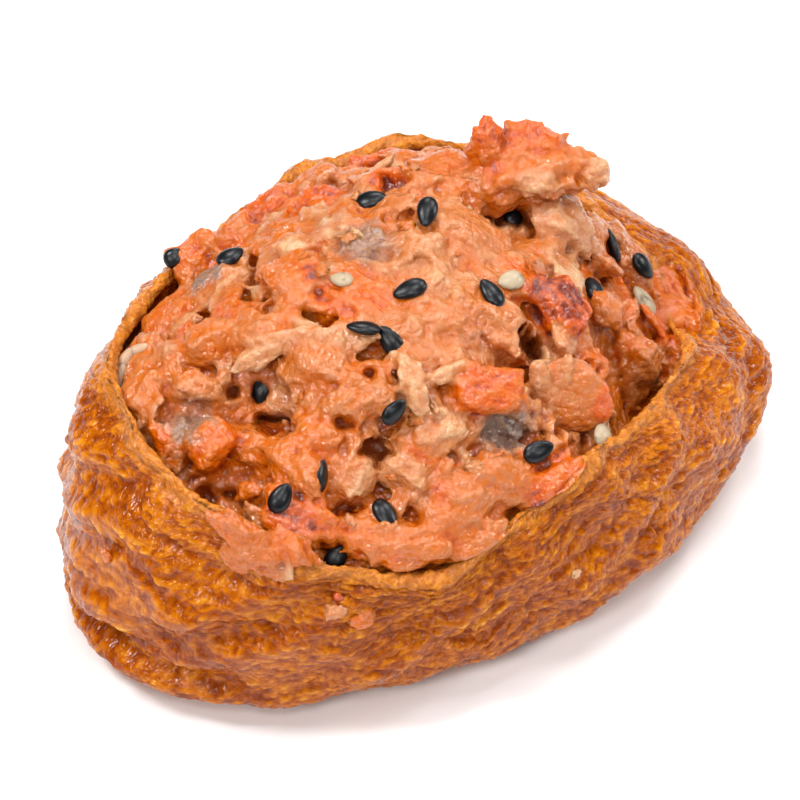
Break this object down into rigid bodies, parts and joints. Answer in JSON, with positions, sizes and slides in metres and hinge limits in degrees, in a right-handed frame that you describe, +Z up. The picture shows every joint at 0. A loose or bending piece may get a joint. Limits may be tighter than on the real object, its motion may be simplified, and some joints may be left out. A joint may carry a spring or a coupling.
{
  "type": "inari sushi",
  "caption": "Pouch of simmered fried tofu, open on top, packed with rice and heaped with chopped salmon and sesame seeds, standing on its flat base.",
  "frame": {"origin": "on the surface that the pouch stands on, under the middle of the whole", "axes": "+X along the pouch's long side, towards its lower end; +Z up; the side with the torn rim faces -Y"},
  "size_m": [0.075, 0.0524, 0.0362],
  "materials": {
    "tofu_skin": "wet, finely wrinkled, amber to golden brown",
    "rice": "moist, slightly translucent",
    "salmon": "wet, soft, mottled orange and pink",
    "salmon_pale": "wet, pale pink, slightly translucent",
    "sesame_black": "smooth, glossy black",
    "sesame_white": "smooth, satin, cream to tan"
  },
  "bodies": {
    "root": {"tofu_pouch": "tofu_skin", "rice_bed": "rice", "salmon_heap": "salmon", "salmon_top_lump": "salmon", "salmon_flake": "salmon_pale"}
  },
  "joints": []
}
